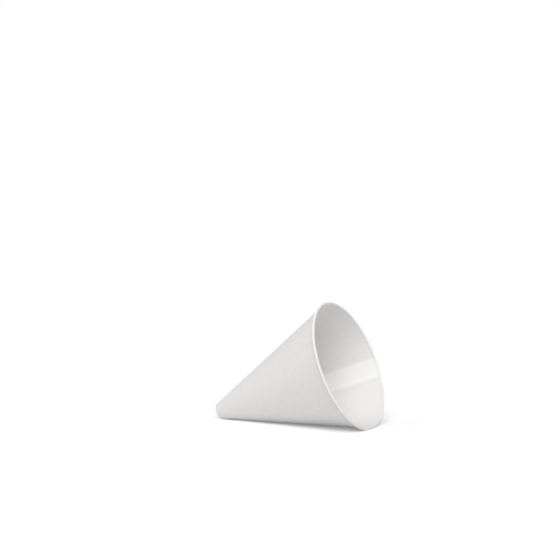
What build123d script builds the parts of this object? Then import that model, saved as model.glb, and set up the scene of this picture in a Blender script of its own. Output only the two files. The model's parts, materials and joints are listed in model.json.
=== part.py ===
from build123d import *
from math import asin, atan, atan2, ceil, cos, degrees, radians, sin, tan
import os

# A cone paper cup: one sheet of paper wound into a cone and glued along a lap,
# with a blunt, turned-in tip and a mouth rolled outwards. It lies on its side,
# where the paper has given a little and lies flat along the floor.
# Lengths are in millimetres and angles in degrees. The floor is Z = 0, +X runs
# from the tip towards the mouth, and the origin is under the middle of the cup.

# The finished cup
cup_height = 89.2  # from the end of the tip to the top of the rolled rim
mouth_diameter = 73.0  # across the outside of the rolled rim
tip_diameter = 9.3  # across the outside of the blunt tip

# The sheet, and how it is rolled and turned in
sheet = 0.25  # thickness of the paper
roll_diameter = 1.5  # outside of the rolled rim's section
roll_tightening = 0.175  # how much closer the roll is wound past its outside
roll_tail_turn = 140.0  # how far the sheet goes on past the outside of the roll
tip_bend = 0.6  # radius of the middle of the sheet where it turns in at the tip
tip_hole_diameter = 2.4  # left open in the turned-in hem
tip_plies = 3  # layers of paper pressed flat over the hem, inside the tip

# The lap, with angles round the cup's axis, counted from the floor
lap_azimuth = 92.5  # of the sheet's inner edge, which runs straight up the cone
lap_width = 10.8  # across the sheet, from its inner edge to its outer edge
lap_turn_at_tip = 120.0  # how far the lap wraps round the narrow tip
ramp_turn = 6.0  # over which the sheet climbs onto its own inner edge

# Where the cup rests, the paper lies flat this far to each side of the floor line
flat_turn = 8.0

# A bend of the sheet is drawn as short straight runs, each turning this far at most
bend_step = 24.0

# The lap's outer edge is drawn from this many points, seen from this far round the lap
edge_points = 8
lap_view_turn = 45.0

# Centres of the tip's bend and of the rolled rim, as radius and height
roll_bend = (roll_diameter - sheet) / 2
tip_centre = Vector(tip_diameter / 2 - tip_bend - sheet / 2, tip_bend + sheet / 2)
roll_centre = Vector((mouth_diameter - roll_diameter) / 2, cup_height - roll_diameter / 2)
rise = roll_centre - tip_centre
rise_angle = degrees(atan2(rise.X, rise.Y))

# The middle of the wall runs from the outside of the bend to the inside of the roll
wall_angle = rise_angle - degrees(asin((tip_bend + roll_bend) / rise.length))
wall_normal = Vector(cos(radians(wall_angle)), -sin(radians(wall_angle)))
wall_start = tip_centre + wall_normal * tip_bend
apex_level = wall_start.Y - wall_start.X / tan(radians(wall_angle))
tail_centre = roll_centre + wall_normal * roll_tightening
tail_bend = roll_bend - roll_tightening

# A round cup would rest on the outside of the roll and, at the tip, on the lapped layer
lapped_bend = tip_bend + sheet / 2 + sheet
round_lean = rise_angle - degrees(asin((lapped_bend - roll_diameter / 2) / rise.length))
floor_normal = Vector(cos(radians(round_lean)), -sin(radians(round_lean)))
round_level = tip_centre.dot(floor_normal) + lapped_bend

# The flat brings both of them nearer to the axis, in the same proportion
flat_share = cos(radians(flat_turn))
lean = degrees(atan(flat_share * tan(radians(round_lean))))
tip_level = round_level * flat_share * cos(radians(lean)) / cos(radians(round_lean))


def forward(centre, share):
    """How far along the floor a centre lies from the tip's end, at a share of its radius below the axis."""
    return centre.Y * cos(radians(lean)) + share * centre.X * sin(radians(lean))


front = forward(roll_centre, flat_share) + roll_diameter / 2
back = forward(tip_centre, -1) - tip_bend - sheet / 2

# The cup's own frame has Z up its axis from the tip's end, and X towards the floor
cup_frame = Plane(
    origin=(-(front + back) / 2, 0, tip_level),
    x_dir=(sin(radians(lean)), 0, -cos(radians(lean))),
    z_dir=(cos(radians(lean)), 0, sin(radians(lean))),
)
cup_axis = Axis(cup_frame.origin, cup_frame.z_dir)


def section_plane(azimuth):
    """A plane through the axis, with X as the radius at that azimuth and Y as the height."""
    return cup_frame.moved(Rotation(0, 0, azimuth) * Rotation(90, 0, 0))


def bend(centre, radius, start, turn):
    """Points of the middle of the sheet round a bend, from a direction and over a turn."""
    runs = ceil(abs(turn) / bend_step)
    directions = [start + turn * run / runs for run in range(runs + 1)]
    return [centre + Vector(radius, 0).rotate(Axis.Z, angle) for angle in directions]


def sheet_section(azimuth, layers):
    """The sheet from hem to tail at an azimuth, moved outwards by a number of layers."""
    move = layers * sheet
    hem_end = Vector(tip_hole_diameter / 2, sheet / 2 - move)
    tip_points = bend(tip_centre, tip_bend + move, -90, 90 - wall_angle)
    roll_points = bend(roll_centre, roll_bend - move, 180 - wall_angle, -180)
    tail_points = bend(tail_centre, tail_bend - move, -wall_angle, -roll_tail_turn)
    with BuildSketch(section_plane(azimuth)) as section:
        with BuildLine():
            Polyline(hem_end, *tip_points, *roll_points, *tail_points[1:])
        trace(line_width=sheet)
    return section.sketch


def wind_sheet(layers, turn):
    """Wind a layer of the sheet from the inner edge's azimuth past the floor, over a turn."""
    flat_start = sheet_section(flat_turn, layers)
    flat_end = sheet_section(-flat_turn, layers)
    turn_to_flat = lap_azimuth - flat_turn
    turn_past_flat = turn - lap_azimuth - flat_turn
    revolve(sheet_section(lap_azimuth, layers), axis=cup_axis, revolution_arc=-turn_to_flat)
    loft([flat_start, flat_end], ruled=True)
    revolve(flat_end, axis=cup_axis, revolution_arc=-turn_past_flat)


def lap_edge_point(slant):
    """A point of the lap's outer edge at a distance from the cone's apex, seen from the lap's side.

    The edge is straight on the flat sheet, where it runs beside the inner edge. Winding
    the sheet spreads each flat angle by the sine of the wall's angle.
    """
    wall_sine = sin(radians(wall_angle))
    turn = degrees(asin(lap_width / slant)) / wall_sine
    across = slant * wall_sine * sin(radians(lap_view_turn - turn))
    return across, apex_level + slant * cos(radians(wall_angle))


# The outer layer of the lap, trimmed along its outer edge
lap_view = section_plane(lap_azimuth - lap_view_turn).moved(Rotation(0, 90, 0))
edge_turn_at_tip = lap_turn_at_tip * sin(radians(wall_angle))
slant_at_tip = lap_width / sin(radians(edge_turn_at_tip))
slant_past_rim = (cup_height + roll_diameter - apex_level) / cos(radians(wall_angle))

with BuildPart() as lap:
    wind_sheet(1, lap_turn_at_tip)
    with BuildSketch(lap_view):
        with BuildLine():
            step = (slant_past_rim - slant_at_tip) / (edge_points - 1)
            edge = Spline(*[lap_edge_point(slant_at_tip + step * i) for i in range(edge_points)])
            low, high = edge @ 0, edge @ 1
            Polyline(high, (-mouth_diameter, high.Y), (-mouth_diameter, low.Y), low)
        make_face()
    extrude(amount=mouth_diameter, mode=Mode.SUBTRACT)

with BuildPart() as paper_cup:
    # Once round the cone, from the inner edge to the foot of the ramp
    wind_sheet(0, 360 - ramp_turn)

    # The ramp, where the sheet climbs onto its own inner edge
    ramp_foot = sheet_section(lap_azimuth + ramp_turn, 0)
    ramp_top = sheet_section(lap_azimuth, 1)
    loft([ramp_foot, ramp_top], ruled=True)

    # The outer layer of the lap
    add(lap.part)

    # The point of the cone, pressed flat inside the tip
    with BuildSketch(section_plane(0)):
        with BuildLine():
            plies_level = sheet * (1 + tip_plies)
            plies_radius = (plies_level - apex_level) * tan(radians(wall_angle))
            tip_points = bend(tip_centre, tip_bend, -90, 90 - wall_angle)
            axis_points = [(plies_radius, plies_level), (0, plies_level), (0, sheet / 2)]
            Polyline(*tip_points, *axis_points, close=True)
        make_face()
    revolve(axis=cup_axis)

paper_cup.part.label = "paper_cup"
os.makedirs("parts", exist_ok=True)
export_step(paper_cup.part, "parts/paper_cup.step")
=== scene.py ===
"""The looks of a cone paper cup that lies on its side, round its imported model.

The cup is one sheet of paper. Geometry Nodes wind the section of the sheet round the
cup's axis, lap it onto its own first edge and give it its thickness.
"""

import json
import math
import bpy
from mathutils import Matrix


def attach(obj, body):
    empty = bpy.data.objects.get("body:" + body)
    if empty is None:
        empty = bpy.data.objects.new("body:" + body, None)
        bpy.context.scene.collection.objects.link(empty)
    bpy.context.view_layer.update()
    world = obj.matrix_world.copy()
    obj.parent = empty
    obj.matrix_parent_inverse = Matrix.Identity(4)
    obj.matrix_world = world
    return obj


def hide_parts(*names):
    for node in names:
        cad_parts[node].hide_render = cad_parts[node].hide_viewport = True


bl_info = {
    "name": "Cone Paper Cup",
    "version": (1, 0, 0),
    "blender": (4, 5, 0),
    "location": "3D Viewport > Sidebar > Cone Cup",
    "description": "Winds a cone paper cup from one sheet and sets it on a pale floor",
    "category": "Object",
}

import bpy
from bpy.props import FloatProperty, FloatVectorProperty, IntProperty, PointerProperty
from mathutils import Vector

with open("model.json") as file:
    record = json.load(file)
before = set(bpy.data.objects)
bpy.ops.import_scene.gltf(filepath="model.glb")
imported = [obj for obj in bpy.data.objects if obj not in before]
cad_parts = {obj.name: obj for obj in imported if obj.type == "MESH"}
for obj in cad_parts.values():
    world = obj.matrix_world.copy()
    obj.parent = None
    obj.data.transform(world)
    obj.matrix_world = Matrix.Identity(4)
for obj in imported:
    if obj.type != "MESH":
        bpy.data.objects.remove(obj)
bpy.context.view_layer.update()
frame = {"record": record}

MM = 0.001
NODE = "paper_cup"

# The wall's last row of faces is this short, which keeps the rim's crease crisp
NEAR_CREASE = 0.15 * MM

# Rows of faces along the section, and how far a bend turns from one row to the next
HEM_ROWS = 4
WALL_ROWS = 24
BEND_STEP = math.radians(8)

# The stage's floor lies this little under the cup, so that the two never flicker
FLOOR_LEVEL = -0.02 * MM

mounts = {mount["name"]: mount for mount in frame["record"]["mounts"]}
rim_place = Vector(mounts["mouth_rim"]["pos_m"])
cup_axis = Vector(mounts["mouth_rim"]["axis"]).normalized()


def length(name, description, value):
    """A property that holds a length, given in millimetres."""
    value *= MM
    held = {"default": value, "unit": "LENGTH", "precision": 5}
    return FloatProperty(name=name, description=description, **held)


def angle(name, description, value):
    """A property that holds an angle, given in degrees."""
    value = math.radians(value)
    return FloatProperty(name=name, description=description, default=value, unit="ROTATION")


def share(name, description, value):
    """A property that holds a share between none and all."""
    held = {"default": value, "min": 0, "max": 1, "subtype": "FACTOR"}
    return FloatProperty(name=name, description=description, **held)


def colour(name, description, value):
    """A property that holds a colour."""
    held = {"default": value, "min": 0, "max": 1, "size": 3, "subtype": "COLOR"}
    return FloatVectorProperty(name=name, description=description, **held)


class CupSizes(bpy.types.PropertyGroup):
    """The sizes of the cup and of the sheet that it is wound from."""

    height: length("Height", "From the end of the tip to the top of the rolled rim", 89.2)
    mouth: length("Mouth", "Across the outside of the rolled rim", 73.0)
    tip: length("Tip", "Across the outside of the blunt tip", 9.3)
    sheet: length("Sheet", "Thickness of the paper", 0.25)
    roll: length("Roll", "Outside of the rolled rim's section", 1.5)
    roll_inset: length(
        "Roll Inset", "How far the roll stands in from the wall, past its crease", 0.12,
    )
    roll_tightening: length(
        "Roll Tightening", "How much closer the roll is wound past its outside", 0.175,
    )
    tail_turn: angle("Tail Turn", "How far the sheet goes on past the outside of the roll", 108)
    tip_bend: length(
        "Tip Bend", "Radius of the middle of the sheet where it turns in at the tip", 0.6,
    )
    tip_hole: length("Tip Hole", "Across the hole left in the turned-in hem", 2.4)
    tip_plies: IntProperty(
        name="Tip Plies", description="Layers pressed flat over the hem", default=3,
    )
    lap_start: angle("Lap Start", "Round the axis from the floor to the sheet's inner edge", 92.5)
    lap_width: length("Lap Width", "Across the sheet, from its inner edge to its outer edge", 10.8)
    lap_turn_at_tip: angle("Lap Turn at Tip", "How far the lap wraps round the narrow tip", 120)
    ramp_turn: angle("Ramp Turn", "Over which the sheet climbs onto its own inner edge", 6)
    flat_turn: angle("Flat Turn", "How far the paper lies flat to each side of the floor line", 8)
    glue: length("Glue", "Between the two layers of the lap", 0.01)
    oval: length("Oval", "How far the mouth bulges out, and in a quarter round from there", 0.87)
    oval_turn: angle("Oval Turn", "Round the axis from the floor to the bulge", 36)
    oval_fade: angle("Oval Fade", "Round the axis from the floor to where the oval is full", 30)


class PaperFinish(bpy.types.PropertyGroup):
    """The look of the paper."""

    white: colour("White", "The paper's lighter patches", (0.866, 0.852, 0.847))
    shade: colour(
        "Shade", "The paper's darker patches, where its fibres lie thinner", (0.828, 0.814, 0.809),
    )
    lap_white: colour("Lap White", "The paper where layers lie together", (0.94, 0.922, 0.914))
    ramp_white: share(
        "Ramp White", "How near the ramp comes to the lap's white, below its edge", 0.4,
    )
    # Painted shade: the colour of a darker line painted along the crease inside the rolled rim
    painted_crease_shade: colour(
        "Painted Crease Shade", "The pressed line inside the rolled rim", (0.78, 0.765, 0.76),
    )
    # The width of the line of painted shade in the crease, which also sets how far the rolled
    # rim's lighter paint fades in
    crease_width: length("Crease Width", "Of the pressed line inside the rolled rim", 0.5)
    # The rolled rim is painted lighter: partly the white of the layers lying together in it,
    # partly a painted highlight along the roll
    roll_white_and_painted_highlight: share("Roll White and Painted Highlight", "How near the rolled rim comes to the lap's white", 0.5)
    roughness: share("Roughness", "How matte the paper is", 0.78)
    cloud_size: length("Cloud Size", "Of the soft patches in the paper", 3.2)
    fibre_size: length("Fibre Size", "Of the finest marks in the paper", 0.28)
    fibre_depth: length("Fibre Depth", "Of the finest marks in the paper", 0.022)
    pucker_size: length("Pucker Size", "Of the fine creases over the rolled rim and the tip", 0.9)
    pucker_depth: length(
        "Pucker Depth", "Of the fine creases over the rolled rim and the tip", 0.045,
    )


class StudioSettings(bpy.types.PropertyGroup):
    """The floor, the light and the camera."""

    floor_colour: colour("Floor Colour", "Of the pale floor", (0.9, 0.9, 0.9))
    floor_glow: share(
        "Floor Glow", "White that the camera sees added to the floor's own light", 0.27,
    )
    floor_size: length("Floor Size", "Along each side of the floor", 6000)
    sky: share("Sky", "Level of the soft light from all round", 0.32)
    key: FloatProperty(
        name="Key", description="Strength of the lamp over the camera", default=1.95,
    )
    fill: FloatProperty(name="Fill", description="Strength of the lamp at the left", default=0.3)
    fill_turn: angle("Fill Turn", "Round the cup from the camera's side to the fill", -90)
    lamp_height: angle("Lamp Height", "Of the lamps above the floor, seen from the cup", 45)
    lamp_width: angle("Lamp Width", "How wide a lamp looks from the cup", 50)
    lens: FloatProperty(name="Lens", description="Focal length in millimetres", default=69.25)
    camera_place: FloatVectorProperty(
        name="Camera Place",
        description="Where the camera stands",
        default=(0.28377, -0.53552, 0.08639),
        size=3,
        subtype="TRANSLATION",
    )
    camera_heading: angle(
        "Camera Heading", "How far the camera turns to the left of the Y axis", 28.49,
    )
    camera_roll: angle("Camera Roll", "How far the camera tips to one side", 0.29)
    camera_dip: angle("Camera Dip", "How far the camera looks down", 0.516)


# A Mix node has sockets of the same names for numbers, vectors and colours
MIX_INPUTS = (0, 6, 7)
MIX_OUTPUTS = (2,)


class Socket:
    """An output of a node, on which Python's operators add Math nodes."""

    def __init__(self, maker, socket):
        self.maker = maker
        self.socket = socket

    def __add__(self, other):
        return self.maker.math("ADD", self, other)

    def __sub__(self, other):
        return self.maker.math("SUBTRACT", self, other)

    def __rsub__(self, other):
        return self.maker.math("SUBTRACT", other, self)

    def __mul__(self, other):
        return self.maker.math("MULTIPLY", self, other)

    def __truediv__(self, other):
        return self.maker.math("DIVIDE", self, other)

    __radd__ = __add__
    __rmul__ = __mul__


class NodeMaker:
    """Adds nodes to a tree and hands back their outputs."""

    def __init__(self, tree):
        self.tree = tree

    def add(self, kind, settings=None, sockets=None, outputs=(0,)):
        """Adds a node: its settings are set first, then the values or links of its sockets."""
        node = self.tree.nodes.new(kind)
        for name, value in (settings or {}).items():
            setattr(node, name, value)
        for name, value in (sockets or {}).items():
            self.plug(node.inputs[name], value)
        found = [Socket(self, node.outputs[name]) for name in outputs if len(node.outputs)]
        return found[0] if len(found) == 1 else found

    def plug(self, socket, value):
        """Links an output to a socket, links several to it, or sets its value."""
        if isinstance(value, list):
            for each in value:
                self.plug(socket, each)
        elif isinstance(value, Socket):
            self.tree.links.new(value.socket, socket)
        else:
            socket.default_value = value

    def math(self, operation, *values):
        """A Math node on one, two or three values."""
        return self.add("ShaderNodeMath", {"operation": operation}, dict(enumerate(values)))

    def mix(self, factor, first, second):
        """A colour between two, at a share of the way."""
        sockets = dict(zip(MIX_INPUTS, (factor, first, second)))
        return self.add("ShaderNodeMix", {"data_type": "RGBA"}, sockets, MIX_OUTPUTS)

    def vector(self, x, y, z):
        """A vector from its three parts."""
        return self.add("ShaderNodeCombineXYZ", sockets={"X": x, "Y": y, "Z": z})

    def parts(self, vector):
        """The three parts of a vector."""
        outputs = ("X", "Y", "Z")
        return self.add("ShaderNodeSeparateXYZ", sockets={"Vector": vector}, outputs=outputs)

    def spread(self, value, low, high, to_low=0.0, to_high=1.0, curve="LINEAR"):
        """A value carried from one range to another, and held at its ends."""
        settings = {"interpolation_type": curve}
        ends = {"From Min": low, "From Max": high, "To Min": to_low, "To Max": to_high}
        return self.add("ShaderNodeMapRange", settings, {"Value": value, **ends})


def bend(centre, radius, start, turn):
    """Points of the middle of the sheet round a bend, from a direction and over a turn."""
    runs = math.ceil(abs(turn) / BEND_STEP)
    directions = [start + turn * run / runs for run in range(runs + 1)]
    return [centre + Vector((math.cos(d), math.sin(d))) * radius for d in directions]


def straight(start, end, runs):
    """Points along a straight stretch of the sheet, without its ends."""
    return [start.lerp(end, run / runs) for run in range(1, runs)]


class SheetSection:
    """The middle of the sheet from hem to tail, as radius and height over the end of the tip."""

    def __init__(self, sizes):
        roll_bend = (sizes.roll - sizes.sheet) / 2
        tip_reach = sizes.tip_bend + sizes.sheet / 2
        tip_centre = Vector((sizes.tip / 2 - tip_reach, tip_reach))
        roll_centre = Vector(((sizes.mouth - sizes.roll) / 2, sizes.height - sizes.roll / 2))
        rise = roll_centre - tip_centre

        # The wall runs straight from the outside of the tip's bend to a crease inside the roll
        wall_to_roll = roll_bend - sizes.roll_inset
        across = (sizes.tip_bend + wall_to_roll) / rise.length
        self.slope = math.atan2(rise.x, rise.y) - math.asin(across)
        normal = Vector((math.cos(self.slope), -math.sin(self.slope)))
        wall_start = tip_centre + normal * sizes.tip_bend
        roll_turn = math.pi + math.acos(wall_to_roll / roll_bend)
        roll = bend(roll_centre, roll_bend, roll_turn - self.slope, -roll_turn)
        wall_end = roll[0]
        near_crease = wall_end.lerp(wall_start, NEAR_CREASE / (wall_end - wall_start).length)
        self.apex = wall_start.y - wall_start.x / math.tan(self.slope)
        self.slant_at_wall = wall_start.x / math.sin(self.slope)
        self.slant_at_roll = wall_end.x / math.sin(self.slope)

        hem_end = Vector((sizes.tip_hole / 2, sizes.sheet / 2))
        hem_start = Vector((tip_centre.x, sizes.sheet / 2))
        tail_centre = roll_centre + normal * sizes.roll_tightening
        tail_bend = roll_bend - sizes.roll_tightening
        tip = bend(tip_centre, sizes.tip_bend, -math.pi / 2, math.pi / 2 - self.slope)
        tail = bend(tail_centre, tail_bend, -self.slope, -sizes.tail_turn)
        hem = [hem_end, *straight(hem_end, hem_start, HEM_ROWS)]
        wall = [*straight(wall_start, near_crease, WALL_ROWS), near_crease]
        self.points = [*hem, *tip, *wall, *roll, *tail[1:]]

        hem_length = hem_start.x - hem_end.x
        bend_length = sizes.tip_bend * (math.pi / 2 - self.slope)
        self.slant_at_hem = self.slant_at_wall - bend_length - hem_length

    def inner_radius(self, height, sizes):
        """Inside radius of the wall at a height."""
        return (height - self.apex) * math.tan(self.slope) - sizes.sheet / 2 / math.cos(self.slope)


TREE_SOCKETS = {
    "Sheet": "NodeSocketFloat",
    "Glue": "NodeSocketFloat",
    "Slope": "NodeSocketFloat",
    "Slant at Hem": "NodeSocketFloat",
    "Slant at Roll": "NodeSocketFloat",
    "Lap Start": "NodeSocketFloat",
    "Lap Width": "NodeSocketFloat",
    "Lap Turn at Tip": "NodeSocketFloat",
    "Ramp Turn": "NodeSocketFloat",
    "Flat Turn": "NodeSocketFloat",
    "Oval": "NodeSocketFloat",
    "Oval Turn": "NodeSocketFloat",
    "Oval Fade": "NodeSocketFloat",
    "Plies Level": "NodeSocketFloat",
    "Plies Depth": "NodeSocketFloat",
    "Plies Foot": "NodeSocketFloat",
    "Plies Top": "NodeSocketFloat",
    "Tip Place": "NodeSocketVector",
    "Lean": "NodeSocketVector",
    "Paper": "NodeSocketMaterial",
}

# Columns of faces round the cup
ROUND_COLUMNS = 236
RAMP_COLUMNS = 8
LAP_COLUMNS = 16

# The pressed plies are this clear of a round sheet, as a share of its thickness
PLIES_CLEARANCE = 0.25
PLIES_COLUMNS = 96
PLIES_RINGS = 6

WELD = 0.001 * MM
SHARP_EDGE = math.radians(50)


def wind_fields(make, given, section):
    """The outer and inner place of each point of the grid, and what the paper's look needs."""
    index = make.add("GeometryNodeInputIndex")
    rows = make.add(
        "GeometryNodeAttributeDomainSize",
        {"component": "CURVE"},
        {"Geometry": section},
        ["Point Count"],
    )
    column = make.math("FLOOR", (index + 0.5) / rows)
    row = index - column * rows

    def along_section(kind, value):
        return make.add(
            "GeometryNodeSampleIndex",
            {"data_type": kind},
            {"Geometry": section, "Value": value, "Index": row},
        )

    place = along_section("FLOAT_VECTOR", make.add("GeometryNodeInputPosition"))
    direction = along_section("FLOAT_VECTOR", make.add("GeometryNodeInputTangent"))
    path = make.add("GeometryNodeSplineParameter", outputs=["Length"])
    slant = along_section("FLOAT", path) + given["Slant at Hem"]
    radius, _, height = make.parts(place)
    along, _, up = make.parts(direction)

    # The lap's outer edge runs straight on the flat sheet, beside the inner edge
    slope_sine = make.math("SINE", given["Slope"])
    flat_turn = make.math("ARCSINE", make.math("MINIMUM", given["Lap Width"] / slant, 1))
    lap_turn = make.math("MINIMUM", flat_turn / slope_sine, given["Lap Turn at Tip"])

    # Once round to the foot of the ramp, up the ramp, and on over the lap
    ramp_column = ROUND_COLUMNS
    lap_column = ROUND_COLUMNS + RAMP_COLUMNS
    last_column = lap_column + LAP_COLUMNS
    once_round = make.spread(column, 0, ramp_column, 0, 2 * math.pi - given["Ramp Turn"])
    over_ramp = make.spread(column, ramp_column, lap_column, 0, given["Ramp Turn"])
    over_lap = make.spread(column, lap_column, last_column, 0, lap_turn)
    turn = once_round + over_ramp + over_lap
    layer = make.spread(column, ramp_column, lap_column, 0, 1, "SMOOTHSTEP")
    azimuth = given["Lap Start"] - turn

    # Where the cup rests, the paper is as near to the axis as at the sides of the flat
    downwards = make.math("COSINE", azimuth)
    sideways = make.math("SINE", azimuth)
    flat_cosine = make.math("COSINE", given["Flat Turn"])
    closer = flat_cosine / make.math("MAXIMUM", downwards, flat_cosine)

    # The mouth is a little oval, but not where the cup rests
    oval_cosine = make.math("COSINE", given["Oval Fade"])
    full = make.spread(downwards, flat_cosine, oval_cosine, 0, 1, "SMOOTHSTEP")
    bulge = make.math("COSINE", (azimuth - given["Oval Turn"]) * 2)
    out = given["Oval"] * (slant / given["Slant at Roll"]) * bulge * full

    def place_at(offset):
        reach = (radius + up * offset + out) * closer
        return make.vector(reach * downwards, reach * sideways, height - along * offset)

    middle = layer * (given["Sheet"] + given["Glue"])

    # The corners of a face are numbered apart from the grid's points, which the fields go by
    flat_angle = turn * slope_sine
    flat_x = slant * make.math("COSINE", flat_angle)
    flat_y = slant * make.math("SINE", flat_angle)
    flat = make.add(
        "GeometryNodeFieldOnDomain",
        {"data_type": "FLOAT_VECTOR", "domain": "POINT"},
        {"Value": make.vector(flat_x, flat_y, 0)},
    )
    return {
        "outer": place_at(middle + given["Sheet"] / 2),
        "inner": place_at(middle - given["Sheet"] / 2),
        "flat": flat,
        "past_lap": (turn - lap_turn) * slant * slope_sine,
        "layer": layer,
        "rows": rows,
    }


def store(make, geometry, name, kind, domain, value):
    """Geometry with a named attribute that the paper's look reads."""
    return make.add(
        "GeometryNodeStoreNamedAttribute",
        {"data_type": kind, "domain": domain},
        {"Geometry": geometry, "Name": name, "Value": value},
    )


def give_thickness(make, grid, inner):
    """The sheet's outer face, its inner face and its cut edges, as one closed skin."""
    # The grid's own faces look towards the axis, as the inner face does
    outward = make.add("GeometryNodeFlipFaces", sockets={"Mesh": grid})
    skin, top = make.add(
        "GeometryNodeExtrudeMesh",
        {"mode": "FACES"},
        {"Mesh": grid, "Offset Scale": 0.0, "Individual": False},
        ["Mesh", "Top"],
    )
    moved = make.add(
        "GeometryNodeSetPosition",
        sockets={"Geometry": skin, "Selection": top, "Position": inner},
    )
    joined = make.add("GeometryNodeJoinGeometry", sockets={"Geometry": [outward, moved]})
    return make.add("GeometryNodeMergeByDistance", sockets={"Geometry": joined, "Distance": WELD})


def pressed_plies(make, given):
    """The point of the cone, pressed flat inside the tip."""
    cone = make.add(
        "GeometryNodeMeshCone",
        sockets={
            "Vertices": PLIES_COLUMNS,
            "Fill Segments": PLIES_RINGS,
            "Radius Top": given["Plies Top"],
            "Radius Bottom": given["Plies Foot"],
            "Depth": given["Plies Depth"],
        },
    )
    raised = make.add(
        "GeometryNodeTransform",
        sockets={"Geometry": cone, "Translation": make.vector(0, 0, given["Plies Level"])},
    )
    across = make.parts(make.add("GeometryNodeInputPosition"))
    laid = store(make, raised, "sheet", "FLOAT2", "CORNER", make.vector(across[0], across[1], 0))
    return store(make, laid, "past_lap", "FLOAT", "POINT", 1.0)


def wound_sheet_tree():
    """Geometry Nodes that wind a section of the sheet round the cup's axis and lap it."""
    tree = bpy.data.node_groups.new("wound_sheet", "GeometryNodeTree")
    tree.interface.new_socket("Section", in_out="INPUT", socket_type="NodeSocketGeometry")
    tree.interface.new_socket("Cup", in_out="OUTPUT", socket_type="NodeSocketGeometry")
    for name, kind in TREE_SOCKETS.items():
        tree.interface.new_socket(name, in_out="INPUT", socket_type=kind)

    make = NodeMaker(tree)
    names = ["Section", *TREE_SOCKETS]
    given = dict(zip(names, make.add("NodeGroupInput", outputs=names)))
    section = make.add("GeometryNodeMeshToCurve", sockets={"Mesh": given["Section"]})
    fields = wind_fields(make, given, section)

    columns = ROUND_COLUMNS + RAMP_COLUMNS + LAP_COLUMNS + 1
    sides = {"Vertices X": columns, "Vertices Y": fields["rows"]}
    grid = make.add("GeometryNodeMeshGrid", sockets=sides)
    grid = store(make, grid, "sheet", "FLOAT2", "CORNER", fields["flat"])
    grid = store(make, grid, "past_lap", "FLOAT", "POINT", fields["past_lap"])
    grid = store(make, grid, "layer", "FLOAT", "POINT", fields["layer"])
    grid = store(make, grid, "inner", "FLOAT_VECTOR", "POINT", fields["inner"])
    placed_outside = {"Geometry": grid, "Position": fields["outer"]}
    outer = make.add("GeometryNodeSetPosition", sockets=placed_outside)
    kept = {"data_type": "FLOAT_VECTOR"}
    inner = make.add("GeometryNodeInputNamedAttribute", kept, {"Name": "inner"})
    sheet = give_thickness(make, outer, inner)
    sheet = make.add("GeometryNodeRemoveAttribute", sockets={"Geometry": sheet, "Name": "inner"})

    plies = pressed_plies(make, given)
    cup = make.add("GeometryNodeJoinGeometry", sockets={"Geometry": [sheet, plies]})
    placed = make.add(
        "GeometryNodeTransform",
        sockets={"Geometry": cup, "Translation": given["Tip Place"], "Rotation": given["Lean"]},
    )
    smooth = make.add("GeometryNodeSetShadeSmooth", {"domain": "FACE"}, {"Geometry": placed})
    edge = make.math("GREATER_THAN", make.add("GeometryNodeInputMeshEdgeAngle"), SHARP_EDGE)
    shaded = make.add(
        "GeometryNodeSetShadeSmooth",
        {"domain": "EDGE"},
        {"Geometry": smooth, "Selection": edge, "Shade Smooth": False},
    )
    real = make.add("GeometryNodeRealizeInstances", sockets={"Geometry": shaded})
    dressed = {"Geometry": real, "Material": given["Paper"]}
    finished = make.add("GeometryNodeSetMaterial", sockets=dressed)
    make.add("NodeGroupOutput", sockets={"Cup": finished}, outputs=())
    return tree


# The paper's body is clouds and fibres in equal parts, spread between its shade and its white
BODY_PART = 0.5
BODY_LOW = 0.38
BODY_HIGH = 0.62
CLOUD_NOISE = {"detail": 4, "roughness": 0.55}
FIBRE_NOISE = {"detail": 6, "roughness": 0.6}
FIBRE_STRETCH = 0.45
CLOUD_DEPTH = 2
ROUGHNESS_SWING = 0.1
SPECULAR = 0.3

# The ramp takes the lap's white in full from this share of the way up
RAMP_TOP = 0.96

# Puckers run across the sheet's edges, stretched along the cup. At the tip they are this many
# times closer together and deeper, and reach this many widths of the roll up the wall
PUCKER_DETAIL = 3
RIM_STRETCH = 0.15
TIP_STRETCH = 0.3
TIP_CLOSER = 2
TIP_DEEPER = 2
TIP_REACH = 2

# The ridge that the lap's outer edge presses into the layer under it, in thicknesses of the sheet
RIDGE_WIDTH = 3
RIDGE_HEIGHT = 0.08


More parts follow.
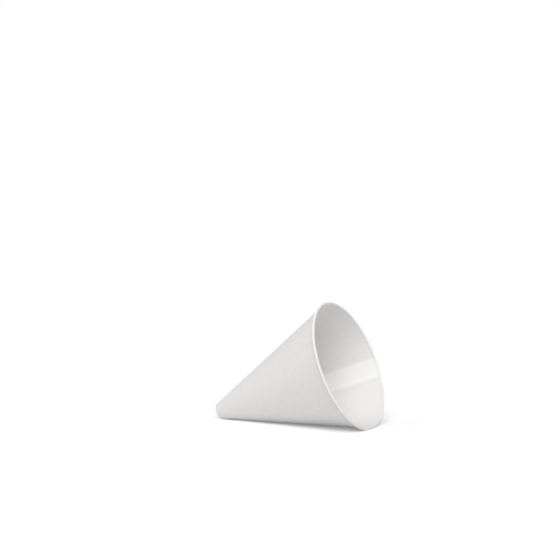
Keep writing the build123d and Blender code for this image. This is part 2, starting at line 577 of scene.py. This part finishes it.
def paper_material(sizes, finish, section):
    """White paper: soft clouds, fine fibres, a denser lap, and puckers over the rim and tip."""
    material = bpy.data.materials.new("cup_paper")
    material.use_nodes = True
    tree = material.node_tree
    tree.nodes.clear()
    make = NodeMaker(tree)

    flat = make.add("ShaderNodeUVMap", {"uv_map": "sheet"})
    flat_x, flat_y, _ = make.parts(flat)
    slant = make.math("SQRT", flat_x * flat_x + flat_y * flat_y)
    turn = make.math("ARCTAN2", flat_y, flat_x)

    def noise(vector, size, detail, roughness=0.5):
        settings = {"noise_dimensions": "3D"}
        values = {"Vector": vector, "Scale": 1 / size, "Detail": detail, "Roughness": roughness}
        return make.add("ShaderNodeTexNoise", settings, values)

    clouds = noise(flat, finish.cloud_size, **CLOUD_NOISE)
    stretched = make.vector(flat_x * FIBRE_STRETCH, flat_y, 0)
    fibres = noise(stretched, finish.fibre_size, **FIBRE_NOISE)
    body = make.spread(clouds * BODY_PART + fibres * BODY_PART, BODY_LOW, BODY_HIGH)
    paper = make.mix(body, (*finish.shade, 1), (*finish.white, 1))

    # Two layers lie together from the inner edge to the outer edge
    past_lap = make.add("ShaderNodeAttribute", {"attribute_name": "past_lap"}, outputs=["Fac"])
    layer = make.add("ShaderNodeAttribute", {"attribute_name": "layer"}, outputs=["Fac"])
    softness = sizes.sheet
    single = make.spread(past_lap, -softness, softness, curve="SMOOTHSTEP")
    laid = make.math("MAXIMUM", layer * finish.ramp_white, make.spread(layer, RAMP_TOP, 1))
    double = make.math("MAXIMUM", 1 - single, laid)

    # Layers lie together in the rolled rim too, past the crease that it starts with, and the rim
    # is painted lighter there: partly their white, partly a painted highlight along the roll
    crease_end = section.slant_at_roll + finish.crease_width / 2
    rolled = make.spread(slant, section.slant_at_roll, crease_end, 0, finish.roll_white_and_painted_highlight)
    paper = make.mix(make.math("MAXIMUM", double, rolled), paper, (*finish.lap_white, 1))
    # A darker line is painted along the crease inside the rolled rim: painted shade in the crease
    from_crease = make.math("ABSOLUTE", slant - section.slant_at_roll)
    crease = make.spread(from_crease, 0, finish.crease_width / 2, 1, 0, "SMOOTHSTEP")
    paper = make.mix(crease, paper, (*finish.painted_crease_shade, 1))

    # Fine creases run over the rolled rim and the tip, across the edge of the sheet
    def puckers(round_cup, stretch):
        place = make.vector(turn * round_cup, slant * stretch, 0)
        return noise(place, finish.pucker_size, PUCKER_DETAIL)

    rim_start = section.slant_at_roll - sizes.roll
    over_rim = make.spread(slant, rim_start, section.slant_at_roll, curve="SMOOTHSTEP")
    rim_puckers = puckers(section.slant_at_roll, RIM_STRETCH)
    tip_end = section.slant_at_wall + TIP_REACH * sizes.roll
    over_tip = make.spread(slant, section.slant_at_wall, tip_end, 1, 0, "SMOOTHSTEP")
    tip_puckers = puckers(section.slant_at_wall * TIP_CLOSER, TIP_STRETCH)
    from_edge = make.math("ABSOLUTE", past_lap)
    ridge = make.spread(from_edge, 0, RIDGE_WIDTH * sizes.sheet, 1, 0, "SMOOTHSTEP")

    height = (
        fibres * finish.fibre_depth
        + clouds * (finish.fibre_depth * CLOUD_DEPTH)
        + rim_puckers * over_rim * finish.pucker_depth
        + tip_puckers * over_tip * (finish.pucker_depth * TIP_DEEPER)
        + ridge * (sizes.sheet * RIDGE_HEIGHT)
    )
    bump = make.add("ShaderNodeBump", sockets={"Strength": 1.0, "Distance": 1.0, "Height": height})
    rough = finish.roughness + (fibres - 0.5) * ROUGHNESS_SWING
    shader = make.add(
        "ShaderNodeBsdfPrincipled",
        sockets={
            "Base Color": paper,
            "Roughness": rough,
            "Normal": bump,
            "Specular IOR Level": SPECULAR,
        },
    )
    make.add("ShaderNodeOutputMaterial", sockets={"Surface": shader}, outputs=())
    return material


def section_object(section):
    """The section of the sheet as a bare line of edges, which the tree winds."""
    mesh = bpy.data.meshes.new("sheet_section")
    points = [(point.x, 0, point.y) for point in section.points]
    mesh.from_pydata(points, [(i, i + 1) for i in range(len(points) - 1)], [])
    line = bpy.data.objects.new("sheet_section", mesh)
    bpy.context.scene.collection.objects.link(line)
    return line


def apply_tree(line, tree, values, name):
    """A plain mesh object of what the tree makes from a line, in place of the line."""
    modifier = line.modifiers.new("wound_sheet", "NODES")
    modifier.node_group = tree
    items = tree.interface.items_tree
    sockets = {item.name: item.identifier for item in items if item.in_out == "INPUT"}
    for socket_name, value in values.items():
        modifier[sockets[socket_name]] = value
    depsgraph = bpy.context.evaluated_depsgraph_get()
    mesh = bpy.data.meshes.new_from_object(line.evaluated_get(depsgraph), depsgraph=depsgraph)
    mesh.name = name
    piece = bpy.data.objects.new(name, mesh)
    bpy.context.scene.collection.objects.link(piece)
    bpy.data.objects.remove(line)
    return piece


class CONE_CUP_OT_wind_cup(bpy.types.Operator):
    """Wind the cup from one sheet of paper, in place of its plain solid"""

    bl_idname = "cone_cup.wind_cup"
    bl_label = "Wind Cup"

    def execute(self, context):
        sizes = context.scene.cup_sizes
        finish = context.scene.paper_finish
        section = SheetSection(sizes)
        plies_level = sizes.sheet + sizes.glue
        plies_top = sizes.sheet * (1 + sizes.tip_plies)
        clear = sizes.sheet * PLIES_CLEARANCE
        values = {
            "Sheet": sizes.sheet,
            "Glue": sizes.glue,
            "Slope": section.slope,
            "Slant at Hem": section.slant_at_hem,
            "Slant at Roll": section.slant_at_roll,
            "Lap Start": sizes.lap_start,
            "Lap Width": sizes.lap_width,
            "Lap Turn at Tip": sizes.lap_turn_at_tip,
            "Ramp Turn": sizes.ramp_turn,
            "Flat Turn": sizes.flat_turn,
            "Oval": sizes.oval,
            "Oval Turn": sizes.oval_turn,
            "Oval Fade": sizes.oval_fade,
            "Plies Level": plies_level,
            "Plies Depth": plies_top - plies_level,
            "Plies Foot": sizes.tip / 2 - sizes.tip_bend - clear,
            "Plies Top": section.inner_radius(plies_top, sizes) - clear,
            "Tip Place": rim_place - cup_axis * sizes.height,
            "Lean": (0.0, math.atan2(cup_axis.x, cup_axis.z), 0.0),
            "Paper": paper_material(sizes, finish, section),
        }
        cup = apply_tree(section_object(section), wound_sheet_tree(), values, "cone_cup")
        if not cup.data.polygons:
            raise RuntimeError("the tree made no faces")
        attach(cup, "root")
        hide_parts(NODE)
        return {"FINISHED"}


def floor_material(studio):
    """A pale floor that takes the cup's shadow, and is white to the camera where none falls."""
    material = bpy.data.materials.new("pale_floor")
    material.use_nodes = True
    material.node_tree.nodes.clear()
    make = NodeMaker(material.node_tree)
    plain = make.add("ShaderNodeBsdfDiffuse", sockets={"Color": (*studio.floor_colour, 1)})
    camera, glossy, through = make.add(
        "ShaderNodeLightPath",
        outputs=["Is Camera Ray", "Is Glossy Ray", "Is Transmission Ray"],
    )
    seen = make.math("MINIMUM", camera + glossy + through, 1)
    glow = make.add("ShaderNodeEmission", sockets={"Strength": seen * studio.floor_glow})
    both = make.add("ShaderNodeAddShader", sockets={0: plain, 1: glow})
    make.add("ShaderNodeOutputMaterial", sockets={"Surface": both}, outputs=())
    return material


def make_floor(studio):
    """A wide flat floor just under the cup."""
    reach = studio.floor_size / 2
    corners = [(-reach, -reach), (reach, -reach), (reach, reach), (-reach, reach)]
    mesh = bpy.data.meshes.new("floor")
    mesh.from_pydata([(x, y, FLOOR_LEVEL) for x, y in corners], [], [(0, 1, 2, 3)])
    mesh.materials.append(floor_material(studio))
    floor = bpy.data.objects.new("floor", mesh)
    bpy.context.scene.collection.objects.link(floor)


def make_sky(studio):
    """Soft light from all round, and white behind the cup."""
    world = bpy.data.worlds.new("soft_studio")
    world.use_nodes = True
    world.node_tree.nodes.clear()
    make = NodeMaker(world.node_tree)
    camera, glossy, through = make.add(
        "ShaderNodeLightPath",
        outputs=["Is Camera Ray", "Is Glossy Ray", "Is Transmission Ray"],
    )
    seen = make.math("MINIMUM", camera + glossy + through, 1)
    strength = studio.sky + seen * (1 - studio.sky)
    light = make.add("ShaderNodeBackground", sockets={"Color": (1, 1, 1, 1), "Strength": strength})
    make.add("ShaderNodeOutputWorld", sockets={"Surface": light}, outputs=())
    bpy.context.scene.world = world


def make_lamp(studio, name, strength, turn):
    """A wide soft lamp, turned round the cup from the camera's side."""
    light = bpy.data.lights.new(name, "SUN")
    light.energy = strength
    light.angle = studio.lamp_width
    turn += studio.camera_heading - math.pi / 2
    flat = math.cos(studio.lamp_height)
    towards = Vector((flat * math.cos(turn), flat * math.sin(turn), math.sin(studio.lamp_height)))
    lamp = bpy.data.objects.new(name, light)
    lamp.rotation_euler = towards.to_track_quat("Z", "Y").to_euler()
    lamp.location = towards
    bpy.context.scene.collection.objects.link(lamp)


def make_camera(studio):
    """The camera, at the photograph's angle."""
    lens = bpy.data.cameras.new("camera")
    lens.lens = studio.lens
    camera = bpy.data.objects.new("camera", lens)
    camera.location = studio.camera_place
    down = math.pi / 2 - studio.camera_dip
    camera.rotation_euler = (down, studio.camera_roll, studio.camera_heading)
    bpy.context.scene.collection.objects.link(camera)
    bpy.context.scene.camera = camera


class CONE_CUP_OT_set_stage(bpy.types.Operator):
    """Set the pale floor, the soft light and the camera"""

    bl_idname = "cone_cup.set_stage"
    bl_label = "Set Stage"

    def execute(self, context):
        studio = context.scene.studio_settings
        make_floor(studio)
        make_sky(studio)
        make_lamp(studio, "key", studio.key, 0)
        make_lamp(studio, "fill", studio.fill, studio.fill_turn)
        make_camera(studio)
        context.scene.view_settings.view_transform = "Standard"
        return {"FINISHED"}


class CONE_CUP_PT_sidebar(bpy.types.Panel):
    """The cup's sizes and finish, and the stage"""

    bl_idname = "CONE_CUP_PT_sidebar"
    bl_label = "Cone Cup"
    bl_space_type = "VIEW_3D"
    bl_region_type = "UI"
    bl_category = "Cone Cup"

    def draw(self, context):
        scene = context.scene
        self.draw_group(scene.cup_sizes)
        self.draw_group(scene.paper_finish)
        self.layout.operator(CONE_CUP_OT_wind_cup.bl_idname)
        self.draw_group(scene.studio_settings)
        self.layout.operator(CONE_CUP_OT_set_stage.bl_idname)

    def draw_group(self, group):
        """One column with a group's settings."""
        column = self.layout.column(align=True)
        for name in group.__annotations__:
            column.prop(group, name)


CLASSES = (
    CupSizes,
    PaperFinish,
    StudioSettings,
    CONE_CUP_OT_wind_cup,
    CONE_CUP_OT_set_stage,
    CONE_CUP_PT_sidebar,
)


def register():
    """Registers the classes and gives the scene their settings."""
    for each in CLASSES:
        bpy.utils.register_class(each)
    bpy.types.Scene.cup_sizes = PointerProperty(type=CupSizes)
    bpy.types.Scene.paper_finish = PointerProperty(type=PaperFinish)
    bpy.types.Scene.studio_settings = PointerProperty(type=StudioSettings)


def unregister():
    """Takes the settings and the classes away again."""
    del bpy.types.Scene.studio_settings
    del bpy.types.Scene.paper_finish
    del bpy.types.Scene.cup_sizes
    for each in reversed(CLASSES):
        bpy.utils.unregister_class(each)


def main():
    """Makes the cup and its stage."""
    register()
    bpy.ops.cone_cup.wind_cup()
    bpy.ops.cone_cup.set_stage()


if __name__ == "__main__":
    main()
